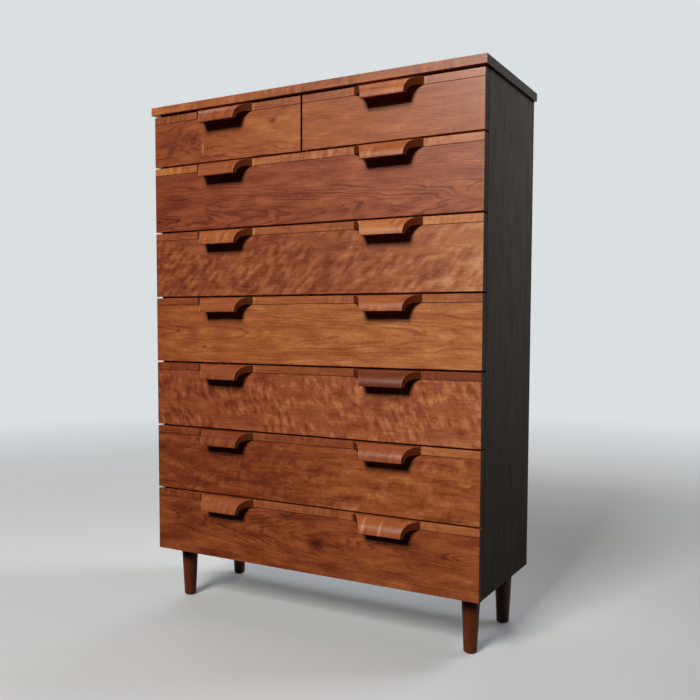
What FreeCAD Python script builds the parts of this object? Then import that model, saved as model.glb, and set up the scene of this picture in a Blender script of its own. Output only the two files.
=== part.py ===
import FreeCAD, Part

import math
import os

import Sketcher

# Tallboy: two short drawers over six wide ones, on four round tapered legs.
# Millimetres. X runs across the front, Y from front to back, Z up from the floor.
# The origin is on the floor, under the centre of the whole piece, pulls included.

# Rows of wide drawers, and the share of a drawer's rear dovetails that the tails take.
WIDE_ROWS = 6
TAIL_SHARE = 0.6

# The driving sizes: name, value in millimetres, and what it is.
SIZES = [
    ("case_width", 1000, "over the two case sides, and over the drawer fronts"),
    ("case_depth", 344.5, "front edge of a side to the back of the case"),
    ("side_thickness", 20, "case sides"),
    ("stile_width", 48, "rear board of each case side"),
    ("joint_bevel", 0.8, "eased edge on each side of a joint that shows"),
    ("leg_height", 156, "floor to the underside of the case"),
    ("first_gap_height", 179.8, "underside of the case to the first gap between drawers"),
    ("row_pitch", 185.2, "gap to gap of the wide drawers"),
    ("row_gap", 4.7, "gap between two drawer fronts"),
    ("top_row_height", 148.6, "highest gap to the underside of the top"),
    ("top_shadow_gap", 5.8, "short drawer front to the underside of the top"),
    ("lowest_front_drop", 1.2, "lowest drawer front below the underside of the case"),
    ("top_thickness", 22, "top panel"),
    ("top_overhang_side", 6.5, "top beyond each case side"),
    ("top_overhang_front", 7.3, "top beyond the drawer fronts"),
    ("top_overhang_back", 4.2, "top beyond the back of the case"),
    ("front_thickness", 23, "drawer fronts"),
    ("front_standoff", 2.5, "drawer front to the front edge of the case"),
    ("strip_height", 20, "edge strip along the top of each drawer front"),
    ("pull_length", 190, "pull where it meets the front"),
    ("pull_tip_length", 116, "pull at its tip"),
    ("pull_projection", 39, "pull's tip in front of the drawer front, and radius of its back"),
    ("pull_end_radius", 110, "hollow cut at each end of a pull"),
    ("pull_lip_thickness", 8, "lip of the pull, underneath"),
    ("pull_lip_drop", 40.7, "top of the pull to the underside of its lip"),
    ("pull_lip_round", 1.5, "rounded lower edge of the lip"),
    ("pull_cove_radius", 24, "hollow behind the lip, for the fingertips"),
    ("pull_cove_root", 6, "flat between the hollow and the drawer front"),
    ("base_thickness", 20, "case bottom"),
    ("shelf_thickness", 18, "shelf under the short drawers"),
    ("partition_thickness", 18, "upright between the short drawers"),
    ("rail_thickness", 18, "front rails and top rails"),
    ("rail_depth", 45, "front rails, front to back"),
    ("top_rail_depth", 60, "top rails, front to back"),
    ("rail_housing", 6, "end of a front rail or of the shelf let into each side"),
    ("back_thickness", 6, "plywood back of the case"),
    ("back_rebate", 8, "back panel let into each rear stile"),
    ("box_side_thickness", 14, "drawer sides"),
    ("box_back_thickness", 12, "drawer backs"),
    ("box_floor_clearance", 3.2, "case bottom to the lowest drawer box"),
    ("box_top_drop", 4.3, "edge strip's joint to the top of the drawer box"),
    ("box_back_drop", 4, "drawer back below the drawer sides"),
    ("box_side_clearance", 1.5, "drawer side to the case on each side"),
    ("box_rear_clearance", 14, "drawer box to the back panel"),
    ("ply_thickness", 6, "drawer bottoms"),
    ("ply_lift", 10, "drawer bottom above the lower edge of the sides"),
    ("ply_groove", 6, "depth of the groove round a drawer bottom"),
    ("ply_fit", 0.2, "clearance of a drawer bottom in its groove"),
    ("front_dovetail_depth", 8, "sliding dovetail into the back of a front"),
    ("front_dovetail_neck", 6, "sliding dovetail at its shoulder"),
    ("front_dovetail_head", 9, "sliding dovetail at its end"),
    ("tail_spacing", 36, "rear dovetails, as near as a whole number of them allows"),
    ("tail_flare", 2, "rear dovetail wider at its end, on each side"),
    ("runner_height", 16, "runners that carry the drawers"),
    ("runner_setback", 12, "front edge of the case to a runner"),
    ("runner_end_gap", 8.5, "runner to the rear stile"),
    ("runner_proud", 8, "runner proud of the case side"),
    ("runner_housing", 3, "runner let into the case side"),
    ("runner_clearance", 0.3, "runner in its groove, all round"),
    ("leg_top_radius", 24.5, "leg where it meets the case"),
    ("leg_bottom_radius", 17, "leg at its foot"),
    ("leg_foot_bevel", 1.5, "eased edge at the foot of a leg"),
    ("leg_inset_side", 50.3, "case side to the centre of a leg"),
    ("leg_inset_front", 52.5, "front edge of the case to the centre of a front leg"),
    ("leg_inset_back", 47.6, "back of the case to the centre of a rear leg"),
    ("tenon_radius", 12.5, "round tenon on top of a leg"),
    ("tenon_fit", 0.1, "clearance round a tenon"),
    ("glide_radius", 12, "nylon glide under each leg"),
    ("glide_thickness", 3, "nylon glide under each leg"),
    ("bumper_size", 7, "square felt bumpers behind the fronts"),
    ("bumper_clearance", 0.3, "bumper to the drawer front"),
]

doc = FreeCAD.newDocument("tallboy")
sheet = doc.addObject("Spreadsheet::Sheet", "Sizes")
for row, (alias, millimetres, meaning) in enumerate(SIZES, start=1):
    sheet.set("A%d" % row, meaning)
    sheet.set("B%d" % row, str(millimetres))
    sheet.setAlias("B%d" % row, alias)
doc.recompute()


def number(expression):
    return float(sheet.evalExpression(expression))


# Places that several pieces share, worked out from the driving sizes.
FACE_Y = (
    "((Sizes.pull_projection - Sizes.front_thickness - Sizes.front_standoff"
    " - Sizes.case_depth - Sizes.top_overhang_back) / 2)"
)
FRONT_BACK_Y = f"({FACE_Y} + Sizes.front_thickness)"
CASE_FRONT_Y = f"({FRONT_BACK_Y} + Sizes.front_standoff)"
CASE_BACK_Y = f"({CASE_FRONT_Y} + Sizes.case_depth)"
STILE_Y = f"({CASE_BACK_Y} - Sizes.stile_width)"
BACK_PANEL_Y = f"({CASE_BACK_Y} - Sizes.back_thickness)"
HALF_CASE = "(Sizes.case_width / 2)"
INNER_X = f"({HALF_CASE} - Sizes.side_thickness)"
HALF_PARTITION = "(Sizes.partition_thickness / 2)"
HALF_GAP = "(Sizes.row_gap / 2)"
CASE_BOTTOM_Z = "Sizes.leg_height"
BASE_TOP_Z = "(Sizes.leg_height + Sizes.base_thickness)"


def gap_line(count):
    """Height of the gap line under a row, counted from the lowest row at 0."""
    return f"(Sizes.leg_height + Sizes.first_gap_height + {count - 1} * Sizes.row_pitch)"


SHORT_ROW_Z = gap_line(WIDE_ROWS)
CASE_TOP_Z = f"({SHORT_ROW_Z} + Sizes.top_row_height)"
SHELF_BOTTOM = f"({SHORT_ROW_Z} - Sizes.shelf_thickness / 2)"
SHELF_TOP = f"({SHORT_ROW_Z} + Sizes.shelf_thickness / 2)"

# Heights in a drawer, from the gap line under it.
WIDE_TOP = f"(Sizes.row_pitch - {HALF_GAP})"
SHORT_TOP = "(Sizes.top_row_height - Sizes.top_shadow_gap)"
LOWEST_BOTTOM = "(Sizes.row_pitch - Sizes.first_gap_height - Sizes.lowest_front_drop)"
BOX_BOTTOM = (
    "(Sizes.base_thickness + Sizes.row_pitch - Sizes.first_gap_height"
    " + Sizes.box_floor_clearance)"
)
PLY_BOTTOM = f"({BOX_BOTTOM} + Sizes.ply_lift)"
PLY_TOP = f"({PLY_BOTTOM} + Sizes.ply_thickness)"
WIDE_BOX_TOP = f"({WIDE_TOP} - Sizes.strip_height - Sizes.box_top_drop)"
SHORT_BOX_TOP = f"({SHORT_TOP} - Sizes.strip_height - Sizes.box_top_drop)"


def tail_layout(box_top):
    """How many rear dovetails fit the height of a drawer back, and their spacing."""
    height = f"({box_top} - Sizes.box_back_drop - {PLY_TOP})"
    tails = max(1, round(number(height) / number("Sizes.tail_spacing")))
    return tails, f"({height} / {tails})"


def runner_bottom(box_top):
    """Underside of a runner. Its groove runs out at the back through a middle tail."""
    tails, pitch = tail_layout(box_top)
    middle = f"({PLY_TOP} + {tails // 2 + 0.5} * {pitch})"
    return f"({middle} - Sizes.runner_height / 2)"


WIDE_RUNNER = runner_bottom(WIDE_BOX_TOP)
SHORT_RUNNER = runner_bottom(SHORT_BOX_TOP)

# The drawer box, seen from above: outer faces, back, and the two short drawers' middle.
WIDE_BOX_X = f"({INNER_X} - Sizes.box_side_clearance)"
SHORT_BOX_X = f"({HALF_PARTITION} + Sizes.box_side_clearance)"
BOX_BACK_Y = f"({BACK_PANEL_Y} - Sizes.box_rear_clearance)"
BOX_BACK_FACE_Y = f"({BOX_BACK_Y} - Sizes.box_back_thickness)"
PULL_X = f"(({HALF_CASE} + {HALF_GAP}) / 2)"
PULL_LEFT_X = f"({PULL_X} - Sizes.pull_length / 2)"
PULL_RIGHT_X = f"({PULL_X} + Sizes.pull_length / 2)"
RUNNER_FRONT_Y = f"({CASE_FRONT_Y} + Sizes.runner_setback)"
RUNNER_GROOVE = "(Sizes.runner_proud - Sizes.box_side_clearance + Sizes.runner_clearance)"

OVERCUT = 1
nodes = []


def origin_feature(body, role):
    return next(f for f in body.Origin.OriginFeatures if f.Role == role)


def new_body(label):
    body = doc.addObject("PartDesign::Body", label)
    body.Label = label
    return body


def new_sketch(body, name, role, offset="0"):
    """A sketch on one of the body's own planes, moved along the plane's normal by offset."""
    sketch = body.newObject("Sketcher::SketchObject", name)
    sketch.AttachmentSupport = [(origin_feature(body, role), "")]
    sketch.MapMode = "FlatFace"
    sketch.setExpression("AttachmentOffset.Base.z", offset)
    return sketch


def pin_point(sketch, curve, end, across, up):
    """Holds one end of a curve at a place given by two expressions."""
    for kind, expression in (("DistanceX", across), ("DistanceY", up)):
        held = Sketcher.Constraint(kind, -1, 1, curve, end, number(expression))
        index = sketch.addConstraint(held)
        sketch.setExpression("Constraints[%d]" % index, expression)


def arc_between(start, end, radius, bulge):
    """An arc of under half a circle. It bulges to the left of its chord where bulge is 1."""
    chord = end - start
    left = FreeCAD.Vector(-chord.y, chord.x, 0).normalize()
    reach = math.sqrt(radius**2 - (chord.Length / 2) ** 2)
    centre = (start + end) * 0.5 - left * (bulge * reach)
    first, last = (end, start) if bulge == 1 else (start, end)
    angles = [math.atan2(p.y - centre.y, p.x - centre.x) for p in (first, last)]
    circle = Part.Circle(centre, FreeCAD.Vector(0, 0, 1), radius)
    return Part.ArcOfCircle(circle, angles[0], angles[1])


def outline(sketch, corners):
    """Draws a closed outline. A corner is (across, up), and where the stretch after it
    is an arc it is (across, up, radius, bulge)."""
    places = [FreeCAD.Vector(number(c[0]), number(c[1]), 0) for c in corners]
    curves = []
    for step, corner in enumerate(corners):
        start = places[step]
        end = places[(step + 1) % len(corners)]
        if len(corner) == 2:
            curve = sketch.addGeometry(Part.LineSegment(start, end), False)
            curves.append((curve, 1, 2))
            continue
        radius, bulge = corner[2:]
        arc = arc_between(start, end, number(radius), bulge)
        curve = sketch.addGeometry(arc, False)
        held = Sketcher.Constraint("Radius", curve, number(radius))
        sketch.setExpression("Constraints[%d]" % sketch.addConstraint(held), radius)
        curves.append((curve, 2, 1) if bulge == 1 else (curve, 1, 2))
    for step, (curve, first, last) in enumerate(curves):
        following = curves[(step + 1) % len(curves)]
        joined = Sketcher.Constraint("Coincident", curve, last, following[0], following[1])
        sketch.addConstraint(joined)
        pin_point(sketch, curve, first, corners[step][0], corners[step][1])


def rectangle(sketch, left, right, low, high):
    outline(sketch, [(left, low), (right, low), (right, high), (left, high)])


def square(sketch, across, up, half_size):
    """A square about a centre."""
    rectangle(
        sketch,
        f"{across} - {half_size}",
        f"{across} + {half_size}",
        f"{up} - {half_size}",
        f"{up} + {half_size}",
    )


def circle(sketch, across, up, radius):
    centre = FreeCAD.Vector(number(across), number(up), 0)
    round_edge = Part.Circle(centre, FreeCAD.Vector(0, 0, 1), number(radius))
    curve = sketch.addGeometry(round_edge, False)
    held = Sketcher.Constraint("Radius", curve, number(radius))
    sketch.setExpression("Constraints[%d]" % sketch.addConstraint(held), radius)
    pin_point(sketch, curve, 3, across, up)


def pad(body, sketch, length, side="One side", backwards=False):
    feature = body.newObject("PartDesign::Pad", sketch.Name + "_pad")
    feature.Profile = sketch
    feature.SideType = side
    feature.Reversed = backwards
    feature.setExpression("Length", length)
    return feature


def pocket(body, sketch, depth=None, along_normal=False, must_cut=True):
    """Cuts a sketch out of the body. With no depth it cuts right through, both ways.
    It makes sure that something was cut, unless the cut may pass the body by."""
    before = body.Tip
    doc.recompute()
    volume = before.Shape.Volume
    feature = body.newObject("PartDesign::Pocket", sketch.Name + "_pocket")
    feature.Profile = sketch
    if depth is None:
        feature.Type = "ThroughAll"
        feature.SideType = "Symmetric"
    else:
        feature.Reversed = along_normal
        feature.setExpression("Length", depth)
    doc.recompute()
    if must_cut and feature.Shape.Volume > volume - 1:
        raise RuntimeError(body.Label + ": " + sketch.Name + " cuts nothing")
    return feature


def repeat_upwards(body, feature, count):
    """Repeats a feature up the case, once for each of so many rows."""
    pattern = body.newObject("PartDesign::LinearPattern", feature.Name + "_rows")
    pattern.Originals = [feature]
    pattern.Direction = (origin_feature(body, "Z_Axis"), [""])
    pattern.Mode = "Spacing"
    pattern.Occurrences = count
    pattern.setExpression("Offset", "Sizes.row_pitch")
    body.Tip = pattern


def reflect(body, feature):
    """Repeats a feature on the other side of the middle of the case."""
    other = body.newObject("PartDesign::Mirrored", feature.Name + "_mirrored")
    other.Originals = [feature]
    other.MirrorPlane = (origin_feature(body, "YZ_Plane"), [""])
    body.Tip = other


def mirrored(label, source, plane_x="0"):
    """The other hand of a piece, across an upright plane that faces along X."""
    other = doc.addObject("Part::Mirroring", label)
    other.Label = label
    other.Source = source
    other.Normal = (1, 0, 0)
    other.setExpression("Base.x", plane_x)
    return other


def node(piece):
    nodes.append(piece)
    return piece


def group_node(label, pieces, height="0"):
    """Pieces of one node, modelled from a gap line and raised to their row."""
    group = doc.addObject("Part::Compound", label)
    group.Label = label
    group.Links = pieces
    group.setExpression("Placement.Base.z", height)
    return node(group)


def board(label, x_low, x_high, y_low, y_high, z_low, thickness):
    """A plain board lying flat."""
    body = new_body(label)
    plan = new_sketch(body, label + "_plan", "XY_Plane", z_low)
    rectangle(plan, x_low, x_high, y_low, y_high)
    pad(body, plan, thickness)
    return body


def ease_all_edges(body, size):
    """Takes the sharpness off every edge."""
    doc.recompute()
    feature = body.newObject("PartDesign::Chamfer", body.Name + "_eased")
    feature.Base = (feature.BaseFeature, [])
    feature.UseAllEdges = True
    feature.setExpression("Size", size)
    return feature


# The case

def make_top():
    top = board(
        "top_panel",
        f"-({HALF_CASE} + Sizes.top_overhang_side)",
        f"{HALF_CASE} + Sizes.top_overhang_side",
        f"{FACE_Y} - Sizes.top_overhang_front",
        f"{CASE_BACK_Y} + Sizes.top_overhang_back",
        CASE_TOP_Z,
        "Sizes.top_thickness",
    )
    ease_all_edges(top, "Sizes.joint_bevel")
    node(top)


def make_sides():
    """Each side is a wide board with housings for the front rails and the runners."""
    side = new_body("side_right")
    plan = new_sketch(side, "side_plan", "XY_Plane", CASE_BOTTOM_Z)
    bevel = "Sizes.joint_bevel"
    outline(
        plan,
        [
            (INNER_X, CASE_FRONT_Y),
            (HALF_CASE, CASE_FRONT_Y),
            (HALF_CASE, f"{STILE_Y} - {bevel}"),
            (f"{HALF_CASE} - {bevel}", STILE_Y),
            (INNER_X, STILE_Y),
        ],
    )
    pad(side, plan, f"{CASE_TOP_Z} - {CASE_BOTTOM_Z}")
    rails = new_sketch(side, "rail_housing", "YZ_Plane", INNER_X)
    rail_z = f"({gap_line(1)} - Sizes.rail_thickness / 2)"
    rectangle(
        rails,
        f"{CASE_FRONT_Y} - {OVERCUT}",
        f"{CASE_FRONT_Y} + Sizes.rail_depth",
        rail_z,
        f"{rail_z} + Sizes.rail_thickness",
    )
    housing = pocket(side, rails, "Sizes.rail_housing", along_normal=True)
    repeat_upwards(side, housing, WIDE_ROWS - 1)
    shelf = new_sketch(side, "shelf_housing", "YZ_Plane", INNER_X)
    rectangle(
        shelf, f"{CASE_FRONT_Y} - {OVERCUT}", f"{STILE_Y} + {OVERCUT}", SHELF_BOTTOM, SHELF_TOP
    )
    pocket(side, shelf, "Sizes.rail_housing", along_normal=True)
    grooves = new_sketch(side, "runner_housing", "YZ_Plane", INNER_X)
    runner_section(grooves, f"({gap_line(0)} + {WIDE_RUNNER})")
    housing = pocket(side, grooves, "Sizes.runner_housing", along_normal=True)
    repeat_upwards(side, housing, WIDE_ROWS)
    highest = new_sketch(side, "short_runner_housing", "YZ_Plane", INNER_X)
    runner_section(highest, f"({SHORT_ROW_Z} + {SHORT_RUNNER})")
    pocket(side, highest, "Sizes.runner_housing", along_normal=True)
    node(side)
    node(mirrored("side_left", side))


def make_stiles():
    """The rear board of each side, rebated for the back panel."""
    stile = new_body("stile_right")
    plan = new_sketch(stile, "stile_plan", "XY_Plane", CASE_BOTTOM_Z)
    bevel = "Sizes.joint_bevel"
    outline(
        plan,
        [
            (INNER_X, STILE_Y),
            (f"{HALF_CASE} - {bevel}", STILE_Y),
            (HALF_CASE, f"{STILE_Y} + {bevel}"),
            (HALF_CASE, CASE_BACK_Y),
            (f"{INNER_X} + Sizes.back_rebate", CASE_BACK_Y),
            (f"{INNER_X} + Sizes.back_rebate", BACK_PANEL_Y),
            (INNER_X, BACK_PANEL_Y),
        ],
    )
    pad(stile, plan, f"{CASE_TOP_Z} - {CASE_BOTTOM_Z}")
    group_node("rear_stiles", [stile, mirrored("stile_left", stile)])


def make_base():
    """The case bottom, bored for the four leg tenons."""
    base = board(
        "base_panel",
        f"-{INNER_X}",
        INNER_X,
        CASE_FRONT_Y,
        BACK_PANEL_Y,
        CASE_BOTTOM_Z,
        "Sizes.base_thickness",
    )
    bores = new_sketch(base, "tenon_bores", "XY_Plane", CASE_BOTTOM_Z)
    for across, back in leg_places():
        circle(bores, across, back, "Sizes.tenon_radius + Sizes.tenon_fit")
    pocket(base, bores)
    node(base)


def make_back():
    half_width = f"({INNER_X} + Sizes.back_rebate)"
    back = board(
        "back_panel",
        f"-{half_width}",
        half_width,
        BACK_PANEL_Y,
        CASE_BACK_Y,
        CASE_BOTTOM_Z,
        f"{CASE_TOP_Z} - {CASE_BOTTOM_Z}",
    )
    node(back)


def make_shelf_and_partition():
    """The shelf under the short drawers, and the upright between them."""
    shelf = new_body("shelf")
    plan = new_sketch(shelf, "shelf_plan", "XY_Plane", SHELF_BOTTOM)
    housed_x = f"({INNER_X} + Sizes.rail_housing)"
    outline(
        plan,
        [
            (f"-{housed_x}", CASE_FRONT_Y),
            (housed_x, CASE_FRONT_Y),
            (housed_x, STILE_Y),
            (INNER_X, STILE_Y),
            (INNER_X, BACK_PANEL_Y),
            (f"-{INNER_X}", BACK_PANEL_Y),
            (f"-{INNER_X}", STILE_Y),
            (f"-{housed_x}", STILE_Y),
        ],
    )
    pad(shelf, plan, "Sizes.shelf_thickness")
    node(shelf)
    partition = new_body("partition")
    profile = new_sketch(partition, "partition_profile", "YZ_Plane")
    rail_z = f"{CASE_TOP_Z} - Sizes.rail_thickness"
    front_notch = f"{CASE_FRONT_Y} + Sizes.top_rail_depth"
    back_notch = f"{BACK_PANEL_Y} - Sizes.top_rail_depth"
    outline(
        profile,
        [
            (CASE_FRONT_Y, SHELF_TOP),
            (BACK_PANEL_Y, SHELF_TOP),
            (BACK_PANEL_Y, rail_z),
            (back_notch, rail_z),
            (back_notch, CASE_TOP_Z),
            (front_notch, CASE_TOP_Z),
            (front_notch, rail_z),
            (CASE_FRONT_Y, rail_z),
        ],
    )
    pad(partition, profile, "Sizes.partition_thickness", "Symmetric")
    grooves = new_sketch(partition, "centre_runner_housing", "YZ_Plane", HALF_PARTITION)
    runner_section(grooves, f"({SHORT_ROW_Z} + {SHORT_RUNNER})")
    housing = pocket(partition, grooves, "Sizes.runner_housing")
    reflect(partition, housing)
    node(partition)


def make_rails():
    """Front rails behind the gaps between the wide drawers, and two top rails."""
    rails = board(
        "drawer_rails",
        f"-({INNER_X} + Sizes.rail_housing)",
        f"{INNER_X} + Sizes.rail_housing",
        CASE_FRONT_Y,
        f"{CASE_FRONT_Y} + Sizes.rail_depth",
        f"{gap_line(1)} - Sizes.rail_thickness / 2",
        "Sizes.rail_thickness",
    )
    repeat_upwards(rails, rails.Tip, WIDE_ROWS - 1)
    node(rails)
    front = board(
        "top_rail_front",
        f"-{INNER_X}",
        INNER_X,
        CASE_FRONT_Y,
        f"{CASE_FRONT_Y} + Sizes.top_rail_depth",
        f"{CASE_TOP_Z} - Sizes.rail_thickness",
        "Sizes.rail_thickness",
    )
    rear = board(
        "top_rail_rear",
        f"-{INNER_X}",
        INNER_X,
        f"{BACK_PANEL_Y} - Sizes.top_rail_depth",
        BACK_PANEL_Y,
        f"{CASE_TOP_Z} - Sizes.rail_thickness",
        "Sizes.rail_thickness",
    )
    group_node("top_rails", [front, rear])


# The runners. Each is let into the case, and a groove in the drawer side slides on it.

def runner_section(sketch, low):
    back = f"{STILE_Y} - Sizes.runner_end_gap"
    rectangle(sketch, RUNNER_FRONT_Y, back, low, f"{low} + Sizes.runner_height")


def make_runners():
    thickness = "Sizes.runner_proud + Sizes.runner_housing"
    runners = new_body("runners_right")
    lowest = new_sketch(runners, "runner_profile", "YZ_Plane", f"{INNER_X} - Sizes.runner_proud")
    runner_section(lowest, f"({gap_line(0)} + {WIDE_RUNNER})")
    first = pad(runners, lowest, thickness)
    repeat_upwards(runners, first, WIDE_ROWS)
    highest = new_sketch(runners, "short_runner_profile", "YZ_Plane", f"{INNER_X} - Sizes.runner_proud")
    runner_section(highest, f"({SHORT_ROW_Z} + {SHORT_RUNNER})")
    pad(runners, highest, thickness)
    group_node("side_runners", [runners, mirrored("runners_left", runners)])
    centre = new_body("centre_runners")
    profile = new_sketch(
        centre, "centre_runner_profile", "YZ_Plane", f"{HALF_PARTITION} - Sizes.runner_housing"
    )
    runner_section(profile, f"({SHORT_ROW_Z} + {SHORT_RUNNER})")
    reflect(centre, pad(centre, profile, thickness))
    node(centre)


# The legs

def leg_places():
    """Centres of the four legs: front left, front right, rear left, rear right."""
    across = f"({HALF_CASE} - Sizes.leg_inset_side)"
    front = f"({CASE_FRONT_Y} + Sizes.leg_inset_front)"
    back = f"({CASE_BACK_Y} - Sizes.leg_inset_back)"
    return [(f"-{across}", front), (across, front), (f"-{across}", back), (across, back)]


def turned_leg(label, across, back):
    """A turned leg with a straight taper, and a round tenon into the case bottom."""
    leg = new_body(label)
    half = new_sketch(leg, label + "_half", "XZ_Plane")
    outline(
        half,
        [
            ("0", "Sizes.glide_thickness"),
            ("Sizes.leg_bottom_radius - Sizes.leg_foot_bevel", "Sizes.glide_thickness"),
            ("Sizes.leg_bottom_radius", "Sizes.glide_thickness + Sizes.leg_foot_bevel"),
            ("Sizes.leg_top_radius", CASE_BOTTOM_Z),
            ("Sizes.tenon_radius", CASE_BOTTOM_Z),
            ("Sizes.tenon_radius", BASE_TOP_Z),
            ("0", BASE_TOP_Z),
        ],
    )
    turned = leg.newObject("PartDesign::Revolution", label + "_turned")
    turned.Profile = half
    turned.ReferenceAxis = (half, ["V_Axis"])
    turned.Angle = 360
    leg.setExpression("Placement.Base.x", across)
    leg.setExpression("Placement.Base.y", back)
    return leg


def make_legs():
    names = ["leg_front_left", "leg_front_right", "leg_rear_left", "leg_rear_right"]
    legs = [turned_leg(name, *place) for name, place in zip(names, leg_places())]
    group_node("front_legs", legs[:2])
    group_node("rear_legs", legs[2:])
    glides = new_body("foot_glides")
    discs = new_sketch(glides, "glide_discs", "XY_Plane")
    for across, back in leg_places():
        circle(discs, across, back, "Sizes.glide_radius")
    pad(glides, discs, "Sizes.glide_thickness")
    node(glides)


def make_bumpers():
    """Felt bumpers on the front edge of the case, two behind each drawer front."""
    bumpers = new_body("bumpers")
    thickness = "Sizes.front_standoff - Sizes.bumper_clearance"
    half_size = "Sizes.bumper_size / 2"
    side_x = f"({HALF_CASE} - Sizes.side_thickness / 2)"
    middle_x = f"({HALF_PARTITION} - {half_size})"
    wide = new_sketch(bumpers, "wide_bumpers", "XZ_Plane", f"-{CASE_FRONT_Y}")
    height = f"{gap_line(0)} + {WIDE_BOX_TOP}"
    for across in (f"-{side_x}", side_x):
        square(wide, across, height, half_size)
    first = pad(bumpers, wide, thickness)
    repeat_upwards(bumpers, first, WIDE_ROWS)
    short = new_sketch(bumpers, "short_bumpers", "XZ_Plane", f"-{CASE_FRONT_Y}")
    height = f"{SHORT_ROW_Z} + {SHORT_BOX_TOP}"
    for across in (f"-{side_x}", f"-{middle_x}", middle_x, side_x):
        square(short, across, height, half_size)
    pad(bumpers, short, thickness)
    node(bumpers)


# The drawers, modelled from the gap line under the row

def box_side_places(outer_x):
    """Inner face and middle of a drawer side whose outer face is at outer_x, on the right."""
    return f"({outer_x} - Sizes.box_side_thickness)", f"({outer_x} - Sizes.box_side_thickness / 2)"


def front_board(label, left, right, low, top, sockets):
    """A drawer front below its edge strip, with dovetail sockets and a groove behind."""
    body = new_body(label)
    profile = new_sketch(body, label + "_profile", "YZ_Plane", left)
    bevel = "Sizes.joint_bevel"
    joint = f"({top} - Sizes.strip_height)"
    outline(
        profile,
        [
            (f"{FACE_Y} + {bevel}", low),
            (FRONT_BACK_Y, low),
            (FRONT_BACK_Y, joint),
            (f"{FACE_Y} + {bevel}", joint),
            (FACE_Y, f"{joint} - {bevel}"),
            (FACE_Y, f"{low} + {bevel}"),
        ],
    )
    pad(body, profile, f"{right} - {left}")
    ease_ends(body, left, right)
    cut = new_sketch(body, label + "_sockets", "XY_Plane", BOX_BOTTOM)
    for middle in sockets:
        dovetail(cut, middle)
    pocket(body, cut, "Sizes.row_pitch", along_normal=True)
    groove = new_sketch(body, label + "_groove", "XZ_Plane", f"-{FRONT_BACK_Y}")
    half_side = "Sizes.box_side_thickness / 2"
    rectangle(
        groove,
        f"{sockets[0]} + {half_side}",
        f"{sockets[1]} - {half_side}",
        PLY_BOTTOM,
        f"{PLY_TOP} + Sizes.ply_fit",
    )
    pocket(body, groove, "Sizes.ply_groove", along_normal=True)
    return body


def ease_ends(body, left, right):
    """Eases the upright edges at both ends of a front or a strip."""
    corners = new_sketch(body, body.Name + "_eased_ends", "XY_Plane")
    for end, inwards, outwards in ((left, "+", "-"), (right, "-", "+")):
        outline(
            corners,
            [
                (f"{end} {inwards} Sizes.joint_bevel", FACE_Y),
                (f"{end} {inwards} Sizes.joint_bevel", f"{FACE_Y} - {OVERCUT}"),
                (f"{end} {outwards} {OVERCUT}", f"{FACE_Y} - {OVERCUT}"),
                (f"{end} {outwards} {OVERCUT}", f"{FACE_Y} + Sizes.joint_bevel"),
                (end, f"{FACE_Y} + Sizes.joint_bevel"),
            ],
        )
    pocket(body, corners)


def dovetail(sketch, middle):
    """Plan of a sliding dovetail socket in the back of a front."""
    neck = "Sizes.front_dovetail_neck / 2"
    head = "Sizes.front_dovetail_head / 2"
    end = f"{FRONT_BACK_Y} - Sizes.front_dovetail_depth"
    outline(
        sketch,
        [
            (f"{middle} - {neck}", FRONT_BACK_Y),
            (f"{middle} - {neck}", f"{FRONT_BACK_Y} + {OVERCUT}"),
            (f"{middle} + {neck}", f"{FRONT_BACK_Y} + {OVERCUT}"),
            (f"{middle} + {neck}", FRONT_BACK_Y),
            (f"{middle} + {head}", end),
            (f"{middle} - {head}", end),
        ],
    )


def tail_places(box_top):
    """Lower and upper edge of each rear dovetail: at its root and at its end."""
    tails, pitch = tail_layout(box_top)
    places = []
    for tail in range(tails):
        middle = f"{PLY_TOP} + {tail + 0.5} * {pitch}"
        half = f"{TAIL_SHARE / 2} * {pitch}"
        root = (f"{middle} - {half}", f"{middle} + {half}")
        end = (f"{root[0]} - Sizes.tail_flare", f"{root[1]} + Sizes.tail_flare")
        places.append((root, end))
    return places


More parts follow.
